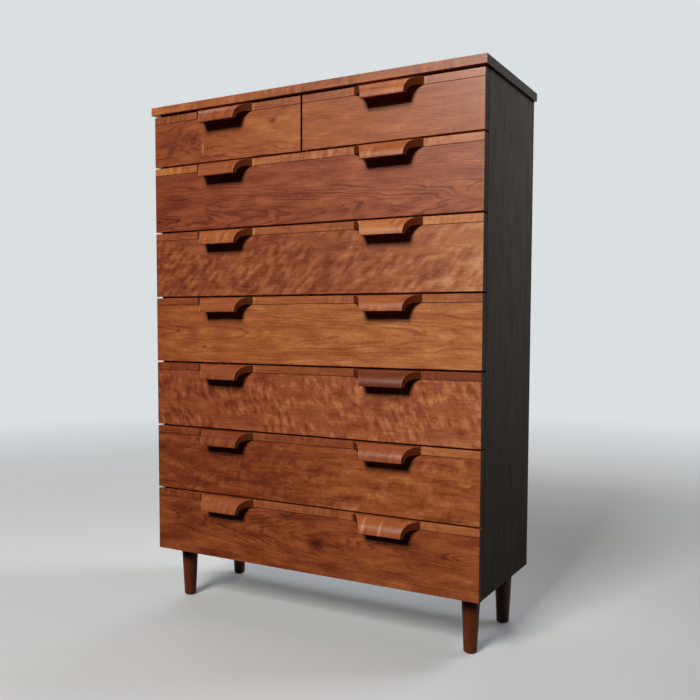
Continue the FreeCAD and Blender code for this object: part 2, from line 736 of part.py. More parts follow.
def box_side(label, outer_x, box_top, runner_low):
    """The right-hand side of a drawer box: tails at the back, a sliding dovetail at the
    front, a groove inside for the bottom and one outside for the runner."""
    body = new_body(label)
    inner, middle = box_side_places(outer_x)
    tip = f"({FRONT_BACK_Y} - Sizes.front_dovetail_depth)"
    back_top = f"{box_top} - Sizes.box_back_drop"
    corners = [(tip, BOX_BOTTOM), (BOX_BACK_Y, BOX_BOTTOM), (BOX_BACK_Y, PLY_TOP)]
    corners.append((BOX_BACK_FACE_Y, PLY_TOP))
    for root, end in tail_places(box_top):
        corners.append((BOX_BACK_FACE_Y, root[0]))
        corners.append((BOX_BACK_Y, end[0]))
        corners.append((BOX_BACK_Y, end[1]))
        corners.append((BOX_BACK_FACE_Y, root[1]))
    corners += [(BOX_BACK_FACE_Y, back_top), (BOX_BACK_Y, back_top), (BOX_BACK_Y, box_top), (tip, box_top)]
    profile = new_sketch(body, label + "_profile", "YZ_Plane", inner)
    outline(profile, corners)
    pad(body, profile, "Sizes.box_side_thickness")
    shoulders = new_sketch(body, label + "_shoulders", "XY_Plane", BOX_BOTTOM)
    neck = "Sizes.front_dovetail_neck / 2"
    head = "Sizes.front_dovetail_head / 2"
    for face, sign in ((f"{inner} - {OVERCUT}", "-"), (f"{outer_x} + {OVERCUT}", "+")):
        outline(
            shoulders,
            [
                (face, FRONT_BACK_Y),
                (f"{middle} {sign} {neck}", FRONT_BACK_Y),
                (f"{middle} {sign} {head}", tip),
                (f"{middle} {sign} {head}", f"{tip} - {OVERCUT}"),
                (face, f"{tip} - {OVERCUT}"),
            ],
        )
    pocket(body, shoulders)
    groove = new_sketch(body, label + "_ply_groove", "YZ_Plane", inner)
    rectangle(
        groove, FRONT_BACK_Y, f"{BOX_BACK_Y} + {OVERCUT}", PLY_BOTTOM, f"{PLY_TOP} + Sizes.ply_fit"
    )
    pocket(body, groove, "Sizes.ply_groove", along_normal=True)
    slot = new_sketch(body, label + "_runner_groove", "YZ_Plane", outer_x)
    rectangle(
        slot,
        f"{RUNNER_FRONT_Y} - Sizes.runner_clearance",
        f"{BOX_BACK_Y} + {OVERCUT}",
        f"{runner_low} - Sizes.runner_clearance",
        f"{runner_low} + Sizes.runner_height + Sizes.runner_clearance",
    )
    pocket(body, slot, RUNNER_GROOVE)
    return body


def box_back(label, centre_x, half_width, box_top, runner_low):
    """The back of a drawer box, with pins between the tails of the sides."""
    body = new_body(label)
    back_top = f"{box_top} - Sizes.box_back_drop"
    core = new_sketch(body, label + "_core", "YZ_Plane", centre_x)
    rectangle(core, BOX_BACK_FACE_Y, BOX_BACK_Y, PLY_TOP, back_top)
    pad(body, core, f"2 * ({half_width} - Sizes.box_side_thickness)", "Symmetric")
    pins = new_sketch(body, label + "_pins", "YZ_Plane", centre_x)
    root_low, end_low = PLY_TOP, PLY_TOP
    for root, end in tail_places(box_top):
        outline(
            pins,
            [
                (BOX_BACK_FACE_Y, root_low),
                (BOX_BACK_Y, end_low),
                (BOX_BACK_Y, end[0]),
                (BOX_BACK_FACE_Y, root[0]),
            ],
        )
        root_low, end_low = root[1], end[1]
    outline(
        pins,
        [
            (BOX_BACK_FACE_Y, root_low),
            (BOX_BACK_Y, end_low),
            (BOX_BACK_Y, back_top),
            (BOX_BACK_FACE_Y, back_top),
        ],
    )
    pad(body, pins, f"2 * {half_width}", "Symmetric")
    ends = new_sketch(body, label + "_runner_groove", "XZ_Plane")
    for sign in ("-", "+"):
        rectangle(
            ends,
            f"{centre_x} {sign} ({half_width} - {RUNNER_GROOVE})",
            f"{centre_x} {sign} ({half_width} + {OVERCUT})",
            f"{runner_low} - Sizes.runner_clearance",
            f"{runner_low} + Sizes.runner_height + Sizes.runner_clearance",
        )
    pocket(body, ends, must_cut=False)
    return body


def box_bottom(label, centre_x, half_width):
    """The thin bottom, in grooves on three sides and running out under the back."""
    body = new_body(label)
    plan = new_sketch(body, label + "_plan", "XY_Plane", PLY_BOTTOM)
    inner = f"({half_width} - Sizes.box_side_thickness)"
    wide = f"({inner} + Sizes.ply_groove - Sizes.ply_fit)"
    tongue = f"({inner} - Sizes.ply_fit)"
    shoulder = f"{FRONT_BACK_Y} + Sizes.ply_fit"
    front = f"{FRONT_BACK_Y} - Sizes.ply_groove + Sizes.ply_fit"
    outline(
        plan,
        [
            (f"{centre_x} - {tongue}", front),
            (f"{centre_x} + {tongue}", front),
            (f"{centre_x} + {tongue}", shoulder),
            (f"{centre_x} + {wide}", shoulder),
            (f"{centre_x} + {wide}", BOX_BACK_Y),
            (f"{centre_x} - {wide}", BOX_BACK_Y),
            (f"{centre_x} - {wide}", shoulder),
            (f"{centre_x} - {tongue}", shoulder),
        ],
    )
    pad(body, plan, "Sizes.ply_thickness")
    return body


# The edge strips and pulls, modelled from the top edge of a front

def strip(label, left, right):
    """One length of edge strip, with a fine bevel on each arris that shows."""
    body = new_body(label)
    profile = new_sketch(body, label + "_profile", "YZ_Plane", left)
    bevel = "Sizes.joint_bevel"
    outline(
        profile,
        [
            (f"{FACE_Y} + {bevel}", "-Sizes.strip_height"),
            (FRONT_BACK_Y, "-Sizes.strip_height"),
            (FRONT_BACK_Y, "0"),
            (f"{FACE_Y} + {bevel}", "0"),
            (FACE_Y, f"-{bevel}"),
            (FACE_Y, f"-Sizes.strip_height + {bevel}"),
        ],
    )
    pad(body, profile, f"{right} - {left}")
    ease_ends(body, left, right)
    return body


def pull(label):
    """A hood pull. Its back rolls over from the strip to the lip, its underside is coved
    for the fingertips, and a hollow cut at each end flares the lip out to the strip."""
    body = new_body(label)
    section = new_sketch(body, label + "_section", "YZ_Plane", PULL_X)
    outline(
        section,
        [
            (FACE_Y, "-Sizes.strip_height"),
            (FRONT_BACK_Y, "-Sizes.strip_height"),
            (FRONT_BACK_Y, "0"),
            (FACE_Y, "0", "Sizes.pull_projection", -1),
            (f"{FACE_Y} - Sizes.pull_projection", "-Sizes.pull_projection"),
            (
                f"{FACE_Y} - Sizes.pull_projection",
                "-Sizes.pull_lip_drop + Sizes.pull_lip_round",
                "Sizes.pull_lip_round",
                -1,
            ),
            (f"{FACE_Y} - Sizes.pull_projection + Sizes.pull_lip_round", "-Sizes.pull_lip_drop"),
            (
                f"{FACE_Y} - Sizes.pull_projection + Sizes.pull_lip_thickness",
                "-Sizes.pull_lip_drop",
                "Sizes.pull_cove_radius",
                1,
            ),
            (f"{FACE_Y} - Sizes.pull_cove_root", "-Sizes.strip_height"),
        ],
    )
    pad(body, section, "Sizes.pull_length", "Symmetric")
    ends = new_sketch(body, label + "_ends", "XY_Plane")
    half_tip = "Sizes.pull_tip_length / 2"
    half_base = "Sizes.pull_length / 2"
    tip_y = f"{FACE_Y} - Sizes.pull_projection"
    for sign, bulge in (("+", -1), ("-", 1)):
        outline(
            ends,
            [
                (f"{PULL_X} {sign} {half_base}", FACE_Y, "Sizes.pull_end_radius", bulge),
                (f"{PULL_X} {sign} {half_tip}", tip_y),
                (f"{PULL_X} {sign} {half_tip}", f"{tip_y} - {OVERCUT}"),
                (f"{PULL_X} {sign} ({half_base} + {OVERCUT})", f"{tip_y} - {OVERCUT}"),
                (f"{PULL_X} {sign} ({half_base} + {OVERCUT})", FACE_Y),
            ],
        )
    pocket(body, ends)
    return body


def make_drawers():
    side_middle = box_side_places(WIDE_BOX_X)[1]
    inner_middle = f"({SHORT_BOX_X} + Sizes.box_side_thickness / 2)"
    half_short = f"(({WIDE_BOX_X} - {SHORT_BOX_X}) / 2)"
    short_middle = f"(({WIDE_BOX_X} + {SHORT_BOX_X}) / 2)"
    pull_right = pull("pull_right")
    pull_left = mirrored("pull_left", pull_right)
    strip_right = strip("strip_right", PULL_RIGHT_X, HALF_CASE)
    strip_left = mirrored("strip_left", strip_right)
    strip_middle = strip("strip_middle", f"-{PULL_LEFT_X}", PULL_LEFT_X)
    strip_inner_right = strip("strip_inner_right", HALF_GAP, PULL_LEFT_X)
    strip_inner_left = mirrored("strip_inner_left", strip_inner_right)

    # The two short drawers, one the mirror image of the other
    front = front_board(
        "short_front", HALF_GAP, HALF_CASE, HALF_GAP, SHORT_TOP, (inner_middle, side_middle)
    )
    outer = box_side("short_side_outer", WIDE_BOX_X, SHORT_BOX_TOP, SHORT_RUNNER)
    inner = mirrored("short_side_inner", outer, short_middle)
    back = box_back("short_back", short_middle, half_short, SHORT_BOX_TOP, SHORT_RUNNER)
    bottom = box_bottom("short_bottom", short_middle, half_short)
    top_z = f"{SHORT_ROW_Z} + {SHORT_TOP}"
    group_node("short_drawer_right_front", [front], SHORT_ROW_Z)
    group_node("short_drawer_right_edge_strip", [strip_inner_right, strip_right], top_z)
    group_node("short_drawer_right_pull", [pull_right], top_z)
    group_node("short_drawer_right_box", [outer, inner, back], SHORT_ROW_Z)
    group_node("short_drawer_right_bottom", [bottom], SHORT_ROW_Z)
    left_box = [mirrored(piece.Label + "_left", piece) for piece in (outer, inner, back)]
    group_node("short_drawer_left_front", [mirrored("short_front_left", front)], SHORT_ROW_Z)
    group_node("short_drawer_left_edge_strip", [strip_inner_left, strip_left], top_z)
    group_node("short_drawer_left_pull", [pull_left], top_z)
    group_node("short_drawer_left_box", left_box, SHORT_ROW_Z)
    group_node("short_drawer_left_bottom", [mirrored("short_bottom_left", bottom)], SHORT_ROW_Z)

    # The six wide drawers. The lowest front stops just above the underside of the case.
    sockets = (f"(-{side_middle})", side_middle)
    common_front = front_board(
        "wide_front", f"(-{HALF_CASE})", HALF_CASE, HALF_GAP, WIDE_TOP, sockets
    )
    lowest_front = front_board(
        "lowest_front", f"(-{HALF_CASE})", HALF_CASE, LOWEST_BOTTOM, WIDE_TOP, sockets
    )
    right = box_side("wide_side_right", WIDE_BOX_X, WIDE_BOX_TOP, WIDE_RUNNER)
    left = mirrored("wide_side_left", right)
    back = box_back("wide_back", "0", WIDE_BOX_X, WIDE_BOX_TOP, WIDE_RUNNER)
    bottom = box_bottom("wide_bottom", "0", WIDE_BOX_X)
    for place in range(1, WIDE_ROWS + 1):
        count = WIDE_ROWS - place
        name = "wide_drawer_%d" % place
        row_z = gap_line(count)
        top_z = f"{row_z} + {WIDE_TOP}"
        group_node(name + "_front", [lowest_front if count == 0 else common_front], row_z)
        group_node(name + "_edge_strip", [strip_left, strip_middle, strip_right], top_z)
        group_node(name + "_pulls", [pull_left, pull_right], top_z)
        group_node(name + "_box", [left, right, back], row_z)
        group_node(name + "_bottom", [bottom], row_z)


def check_and_write():
    """Stops on any failed object or bad shape, and then writes one file for each node."""
    doc.recompute()
    for thing in doc.Objects:
        if "Invalid" in thing.State or "Error" in thing.State:
            raise RuntimeError(thing.Label + " failed: " + ", ".join(thing.State))
    os.makedirs("parts", exist_ok=True)
    for piece in nodes:
        shape = piece.Shape
        if shape.isNull() or not shape.isValid() or not shape.Solids:
            raise RuntimeError(piece.Label + " has no valid solid")
    for piece in nodes:
        piece.Shape.exportStep("parts/%s.step" % piece.Label)
        box = piece.Shape.BoundBox
        print(
            "%-30s %2d solid(s)  %7.1f x %6.1f x %6.1f mm"
            % (piece.Label, len(piece.Shape.Solids), box.XLength, box.YLength, box.ZLength)
        )


make_top()
make_sides()
make_stiles()
make_base()
make_back()
make_shelf_and_partition()
make_rails()
make_runners()
make_legs()
make_bumpers()
make_drawers()
check_and_write()
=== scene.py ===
import math

import bmesh
import bpy
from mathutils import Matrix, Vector


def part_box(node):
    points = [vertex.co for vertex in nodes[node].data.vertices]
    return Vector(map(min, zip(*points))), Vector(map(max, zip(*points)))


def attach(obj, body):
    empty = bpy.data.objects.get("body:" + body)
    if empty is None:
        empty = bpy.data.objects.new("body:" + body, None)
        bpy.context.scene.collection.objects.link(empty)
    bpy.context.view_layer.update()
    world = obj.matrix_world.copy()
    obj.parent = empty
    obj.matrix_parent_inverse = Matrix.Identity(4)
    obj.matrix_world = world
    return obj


# A tallboy in oiled cherry, with two short drawers over six wide ones.
# Metres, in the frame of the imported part: X across the front, Y to the back, Z up.

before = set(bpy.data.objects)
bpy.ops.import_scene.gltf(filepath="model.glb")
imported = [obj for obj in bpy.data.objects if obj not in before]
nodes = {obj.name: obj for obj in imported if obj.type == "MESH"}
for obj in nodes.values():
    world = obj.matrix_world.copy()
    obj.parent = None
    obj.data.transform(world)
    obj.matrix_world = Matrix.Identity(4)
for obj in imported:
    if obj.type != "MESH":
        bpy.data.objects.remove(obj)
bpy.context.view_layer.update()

SHORT_DRAWERS = ["short_drawer_left", "short_drawer_right"]
WIDE_DRAWERS = ["wide_drawer_%d" % place for place in range(1, 7)]
DRAWERS = SHORT_DRAWERS + WIDE_DRAWERS
MM = 0.001


# Colours and nodes

def linear(code):
    """A colour written as sRGB hex, in the linear values that a shader takes."""
    parts = [int(code[start:start + 2], 16) / 255 for start in (1, 3, 5)]
    lit = [c / 12.92 if c <= 0.04045 else ((c + 0.055) / 1.055) ** 2.4 for c in parts]
    return (*lit, 1.0)


def feed(tree, node, inputs):
    """Gives a node its inputs, each a plain value or the node or socket it is linked to."""
    for key, value in inputs.items():
        source = value.outputs[0] if isinstance(value, bpy.types.Node) else value
        if isinstance(source, bpy.types.NodeSocket):
            tree.links.new(source, node.inputs[key])
        else:
            node.inputs[key].default_value = source


def add(tree, kind, inputs=None, stops=(), **settings):
    """Adds a node with its settings and inputs. A ramp also has stops, each a place from
    0 to 1 and a colour or a grey level."""
    node = tree.nodes.new(kind)
    for name, value in settings.items():
        setattr(node, name, value)
    feed(tree, node, inputs or {})
    elements = node.color_ramp.elements if stops else ()
    while len(elements) < len(stops):
        elements.new(0.5)
    for element, (place, value) in zip(elements, stops):
        element.position = place
        element.color = linear(value) if isinstance(value, str) else (value, value, value, 1.0)
    return node


def new_material(name):
    """A material with an empty Principled shader, its tree and that shader."""
    material = bpy.data.materials.new(name)
    material.use_nodes = True
    tree = material.node_tree
    return material, tree, tree.nodes["Principled BSDF"]


# Wood. A board is cut from a log: u runs along the grain, v across the face of the board
# and w into it. The growth rings are tubes round the log's heart, which leans and bends a
# little, so that a flat face cuts them in long arches. Lengths are in metres, and each
# strength says how far that feature moves the colour along the wood's own range of colours.

# The axes that u, v and w follow, for each direction of the grain.
DIRECTIONS = {"X": "XZY", "Y": "YZX", "Z": "ZYX"}

# Oiled American cherry, aged to a warm red brown, from its darkest line to its palest
# figure. Each drawer front is one wide board, with its own place in the log.
CHERRY = ("#30110a", "#58220f", "#7b3919", "#a05a2f", "#c8864d")
RED_CHERRY = ("#2e0f09", "#541e0e", "#76341a", "#9a5331", "#c07f50")
PINK_CHERRY = ("#30120a", "#5a2412", "#7f3d1f", "#a8653d", "#c99266")
AGED_CHERRY = ("#30140b", "#5a2912", "#7d421f", "#a05f33", "#c8864d")
# Dark end grain of the fronts and strips: partly the oiled end grain's own colour, partly
# painted shade.
CHERRY_END_AND_SHADE = "#1e1814"
# The top's dark grey ends: partly end grain, partly painted shade.
TOP_END_AND_SHADE = "#3a332f"
# The pulls' scooped ends: partly end grain, partly painted shade in the hollow.
SCOOP_END_AND_SHADE = "#5b2912"
# A painted highlight along the pulls' arrises.
PAINTED_ARRIS_HIGHLIGHT = "#e0b8a0"

# The patterns in a board are soft spots: how long they are along the grain, how wide
# across it, how many finer layers they have, and a shift that keeps them apart. The pores
# of cherry are a tenth of a millimetre wide. The fibre is drawn ten times as wide, to show.
PATTERNS = {
    "wander": (130 * MM, 30 * MM, 3.0, 0),
    "waver": (18 * MM, 5 * MM, 2.0, 0),
    "fibre": (40 * MM, 1.0 * MM, 4.0, 0),
    "late_wood": (110 * MM, 45 * MM, 1.0, 2),
    "clouds": (90 * MM, 24 * MM, 3.0, 3),
    "streaks": (70 * MM, 2.6 * MM, 3.0, 4),
    "mottle": (12 * MM, 8 * MM, 2.0, 5),
    "curly_areas": (120 * MM, 45 * MM, 1.0, 9),
    "flecks": (5 * MM, 1.1 * MM, 1.0, 11),
}
CURL_LAYERS, CURL_SHIFT = 2.5, 7
SPOT_ROUGHNESS, FIBRE_ROUGHNESS = 0.5, 0.6

# The shares of a board's seed that move its patterns along it, across it and into it.
SEED_STEPS = (1.0, 0.7, 1.3)

# A mark goes right through its board: this is half its depth.
THROUGH = 1000

# The levels between which a pattern with an edge rises from nothing to its full strength.
LATE_WOOD_EDGE = (0.28, 0.52)
CURL_EDGE = (0.22, 0.78)
CURLY_AREA_RISE = 0.2
FLECK_EDGE = (0.66, 0.78)

# The level of a pattern that leaves the colour as it is. Noise reaches half each way of it.
MIDDLE = 0.5

# A growth ring from one spring to the next: pale early wood, then a dark line of late wood
# that ends sharply. Some years grow a stronger line than others.
RING_SHADE = ((0.0, 0.4), (0.08, 0.0), (0.55, 0.04), (0.88, 1.0), (1.0, 0.6))
FAINTEST_YEAR, YEAR_RANGE = 0.1, 1.1
LATE_WOOD_MEAN = 0.15

# Changes along a board are given over one metre, half of it each side of the middle.
HALF_SPAN = 0.5

# The fine joint line under the edge strip: the distances from its middle at which it
# starts to darken and is darkest, and how dark it is.
SEAM_EDGE = (1.5 * MM, 0.4 * MM)
SEAM_DARK = 0.8

# The oil's finish: how far its satin varies with the fibre, how deep the fibre is and how
# much of that it leaves open, and the share of its gloss that end grain loses.
OIL_IOR = 1.47
SATIN_RANGE = 0.08
FIBRE_DEPTH = 0.15 * MM
FIBRE_OPEN = 0.2
END_DULL = 0.97

# A painted highlight along the pulls' arrises: how wide it is, how nearly its rounded normal
# still follows the face, how far that turns along the grain, and its lowest and highest slope.
ARRIS_WIDTH = 2.2 * MM
ARRIS_ROUND = (0.99, 0.88)
ARRIS_ALONG = (0.1, 0.4)
ARRIS_LOWEST = (-0.12, 0.02)
ARRIS_HIGHEST = (0.6, 0.15)

# A plain flat sawn board. Each wood below is this one, with the values that it changes.
FLAT_SAWN = {
    # The log's heart, across the board and into it, and its lean for each metre of grain.
    "heart": (0.0, 0.10),
    "lean": (0.0, 0.02),
    # The growth rings: their spacing and strength, and how far they wander and waver.
    "ring_step": 3.2 * MM,
    "rings": 0.25,
    "wander": 7 * MM,
    "waver": 0.6 * MM,
    # The strengths of the other patterns.
    "clouds": 0.45,
    "streaks": 0.22,
    "fibre": 0.12,
    "mottle": 0.12,
    "flecks": 0.2,
    # Curl: its strength, the width and length of its strokes, their slant in degrees, and
    # the level from which the curly areas show it.
    "curl": 0.0,
    "curl_step": 9 * MM,
    "curl_length": 26 * MM,
    "curl_slant": 42,
    "curl_from": 0.40,
    # Knots, gum marks and pale bands: each has its centre u and v, half its length and
    # half its width, the change of colour, and how far in mm it pushes the rings aside.
    "marks": (),
    # The place in the range of colours, then places along the board with a change there that is
    # reached smoothly in drift, and kept up to the next place in zones. On the fronts the drift
    # is partly the boards' own tone and partly painted light, brighter towards the right; on
    # the strips the zones hold a painted highlight beside each pull.
    "tone": 0.5,
    "drift": (),
    "zones": (),
    "seed": 0.0,
    # The height of the joint line under the edge strip, and the finish.
    "seam": None,
    "roughness": 0.35,
    "specular": 0.85,
    # The colour of end grain, and how far a face has to turn to the grain's ends to start to
    # take it and to have all of it. Then the colour of the painted highlight along arrises.
    "end_colour": None,
    "end_turn": (0.45, 0.95),
    "worn_arris": None,
}


def wood(name, colours=CHERRY, grain="X", **changes):
    """A finished board. colours runs from the wood's darkest line to its palest figure."""
    look = {**FLAT_SAWN, **changes}
    step_u, step_v, step_w = (look["seed"] * share for share in SEED_STEPS)
    material, tree, shader = new_material(name)
    place = add(tree, "ShaderNodeTexCoord").outputs["Object"]
    axes = add(tree, "ShaderNodeSeparateXYZ", {"Vector": place})
    u, v, w = (axes.outputs[letter] for letter in DIRECTIONS[grain])
    board = add(tree, "ShaderNodeCombineXYZ", {"X": u, "Y": v, "Z": w})

    def spots(pattern, edge=None, slant=0, roughness=SPOT_ROUGHNESS):
        """A pattern of the board. With an edge, it has clear places and full ones."""
        long, wide, detail, shift = pattern
        turned = board
        if slant:
            turned = add(
                tree,
                "ShaderNodeMapping",
                {"Vector": board, "Rotation": (0, 0, math.radians(slant))},
            )
        placed = add(
            tree,
            "ShaderNodeMapping",
            {
                "Vector": turned,
                "Location": (step_u + shift, step_v, step_w),
                "Scale": (1 / long, 1 / wide, 1 / wide),
            },
        )
        noise = add(
            tree,
            "ShaderNodeTexNoise",
            {"Vector": placed, "Scale": 1.0, "Detail": detail, "Roughness": roughness},
        )
        if not edge:
            return noise
        return add(
            tree,
            "ShaderNodeMapRange",
            {"Value": noise, "From Min": edge[0], "From Max": edge[1]},
            interpolation_type="SMOOTHSTEP",
        )

    def moved(total, source, strength, middle=MIDDLE):
        """Adds a pattern to the total, so that its middle value leaves the total as it is."""
        scaled = add(
            tree,
            "ShaderNodeMath",
            {0: source, 1: strength, 2: -strength * middle},
            operation="MULTIPLY_ADD",
        )
        return add(tree, "ShaderNodeMath", {0: total, 1: scaled}, operation="ADD")

    def mark(centre_u, centre_v, half_u, half_v):
        """A soft spot on the face, 1 at its centre and 0 at its edge, through the board."""
        away = add(
            tree,
            "ShaderNodeMapping",
            {
                "Vector": board,
                "Location": (centre_u, centre_v, 0),
                "Scale": (half_u, half_v, THROUGH),
            },
            vector_type="TEXTURE",
        )
        return add(
            tree,
            "ShaderNodeTexGradient",
            {"Vector": away},
            gradient_type="QUADRATIC_SPHERE",
        ).outputs["Fac"]

    # The distance from the log's heart, and the growth rings that it passes.
    away = {}
    for axis, across, heart, lean in zip("YZ", (v, w), look["heart"], look["lean"]):
        bent = add(
            tree, "ShaderNodeMath", {0: u, 1: lean, 2: -heart}, operation="MULTIPLY_ADD"
        )
        away[axis] = add(tree, "ShaderNodeMath", {0: bent, 1: across}, operation="ADD")
    from_heart = add(tree, "ShaderNodeCombineXYZ", away)
    length = add(tree, "ShaderNodeVectorMath", {0: from_heart}, operation="LENGTH")
    radius = length.outputs["Value"]
    for bend in ("wander", "waver"):
        radius = moved(radius, spots(PATTERNS[bend]), look[bend] / MIDDLE)
    marks = [(mark(*spot[:4]), *spot[4:]) for spot in look["marks"]]
    for shape, change, push in marks:
        radius = moved(radius, shape, push * MM, 0.0)
    count = add(tree, "ShaderNodeMath", {0: radius, 1: look["ring_step"]}, operation="DIVIDE")
    season = add(tree, "ShaderNodeMath", {0: count}, operation="FRACT")
    late_wood = add(tree, "ShaderNodeValToRGB", {"Fac": season}, stops=RING_SHADE)
    year = add(tree, "ShaderNodeMath", {0: count}, operation="FLOOR")
    growth = add(tree, "ShaderNodeTexWhiteNoise", {"W": year}, noise_dimensions="1D")
    vigour = add(
        tree,
        "ShaderNodeMath",
        {0: growth, 1: YEAR_RANGE, 2: FAINTEST_YEAR},
        operation="MULTIPLY_ADD",
    )
    for share in (vigour, spots(PATTERNS["late_wood"], LATE_WOOD_EDGE)):
        late_wood = add(
            tree, "ShaderNodeMath", {0: late_wood, 1: share}, operation="MULTIPLY"
        )

    # The figure over the rings.
    fibres = spots(PATTERNS["fibre"], roughness=FIBRE_ROUGHNESS)
    total = moved(look["tone"], late_wood, -look["rings"], LATE_WOOD_MEAN)
    total = moved(total, fibres, look["fibre"])
    for pattern in ("clouds", "streaks", "mottle"):
        total = moved(total, spots(PATTERNS[pattern]), look[pattern])
    if look["curl"]:
        strokes = (look["curl_step"], look["curl_length"], CURL_LAYERS, CURL_SHIFT)
        crest = spots(strokes, CURL_EDGE, look["curl_slant"])
        crest = add(tree, "ShaderNodeMath", {0: crest, 1: MIDDLE}, operation="SUBTRACT")
        rise = (look["curl_from"], look["curl_from"] + CURLY_AREA_RISE)
        areas = spots(PATTERNS["curly_areas"], rise)
        curl = add(tree, "ShaderNodeMath", {0: crest, 1: areas}, operation="MULTIPLY")
        total = moved(total, curl, look["curl"], 0.0)
    if look["flecks"]:
        total = moved(total, spots(PATTERNS["flecks"], FLECK_EDGE), -look["flecks"], 0.0)
    for shape, change, push in marks:
        total = moved(total, shape, change, 0.0)

    # What changes from place to place along the board, partly painted light on the fronts, and
    # the seam.
    for steps, interpolation in ((look["drift"], "B_SPLINE"), (look["zones"], "CONSTANT")):
        if steps:
            along = add(tree, "ShaderNodeMath", {0: u, 1: HALF_SPAN}, operation="ADD")
            stops = [(start + HALF_SPAN, MIDDLE + change) for start, change in steps]
            ramp = add(tree, "ShaderNodeValToRGB", {"Fac": along}, stops=stops)
            ramp.color_ramp.interpolation = interpolation
            total = moved(total, ramp, 1.0)
    if look["seam"]:
        above = add(tree, "ShaderNodeMath", {0: v, 1: look["seam"]}, operation="SUBTRACT")
        line = add(
            tree,
            "ShaderNodeMapRange",
            {
                "Value": add(tree, "ShaderNodeMath", {0: above}, operation="ABSOLUTE"),
                "From Min": SEAM_EDGE[0],
                "From Max": SEAM_EDGE[1],
            },
            interpolation_type="SMOOTHSTEP",
        )
        total = moved(total, line, -SEAM_DARK, 0.0)
    last = len(colours) - 1
    range_of_colours = [(place / last, code) for place, code in enumerate(colours)]
    colour = add(tree, "ShaderNodeValToRGB", {"Fac": total}, stops=range_of_colours)

    # The finish: satin that follows the fibre, duller end grain and a painted highlight on
    # arrises.
    feed(tree, shader, {"IOR": OIL_IOR, "Specular IOR Level": look["specular"]})
    if look["end_colour"]:
        normal = add(tree, "ShaderNodeTexCoord").outputs["Normal"]
        facing = add(tree, "ShaderNodeSeparateXYZ", {"Vector": normal}).outputs[grain]
        end = add(
            tree,
            "ShaderNodeMapRange",
            {
                "Value": add(tree, "ShaderNodeMath", {0: facing}, operation="ABSOLUTE"),
                "From Min": look["end_turn"][0],
                "From Max": look["end_turn"][1],
            },
            interpolation_type="SMOOTHSTEP",
        )
        colour = add(
            tree,
            "ShaderNodeMix",
            {0: end, 6: colour, 7: linear(look["end_colour"])},
            data_type="RGBA",
        ).outputs[2]
        gloss = add(
            tree,
            "ShaderNodeMath",
            {0: end, 1: -END_DULL * look["specular"], 2: look["specular"]},
            operation="MULTIPLY_ADD",
        )
        feed(tree, shader, {"Specular IOR Level": gloss})
    # A painted highlight: a pale colour along the arrises whose rounded normal turns along the
    # grain, fading out as the slope rises.
    if look["worn_arris"]:
        rounded = add(tree, "ShaderNodeBevel", {"Radius": ARRIS_WIDTH}, samples=8)
        flat = add(tree, "ShaderNodeNewGeometry").outputs["True Normal"]
        alike = add(
            tree, "ShaderNodeVectorMath", {0: rounded, 1: flat}, operation="DOT_PRODUCT"
        ).outputs["Value"]
        turned = add(tree, "ShaderNodeSeparateXYZ", {"Vector": rounded}).outputs
        along = add(tree, "ShaderNodeMath", {0: turned[grain]}, operation="ABSOLUTE")
        worn = 1.0
        for source, (start, full) in (
            (alike, ARRIS_ROUND),
            (along, ARRIS_ALONG),
            (turned["Z"], ARRIS_LOWEST),
            (turned["Z"], ARRIS_HIGHEST),
        ):
            share = add(
                tree,
                "ShaderNodeMapRange",
                {"Value": source, "From Min": start, "From Max": full},
                interpolation_type="SMOOTHSTEP",
            )
            worn = add(tree, "ShaderNodeMath", {0: worn, 1: share}, operation="MULTIPLY")
        colour = add(
            tree,
            "ShaderNodeMix",
            {0: worn, 6: colour, 7: linear(look["worn_arris"])},
            data_type="RGBA",
        ).outputs[2]
    satin = add(
        tree,
        "ShaderNodeMapRange",
        {
            "Value": fibres,
            "To Min": look["roughness"] - SATIN_RANGE,
            "To Max": look["roughness"] + SATIN_RANGE,
        },
    )
    relief = add(
        tree,
        "ShaderNodeBump",
        {"Height": fibres, "Strength": FIBRE_OPEN, "Distance": FIBRE_DEPTH},
    )
    feed(tree, shader, {"Base Color": colour, "Roughness": satin, "Normal": relief})
    return material
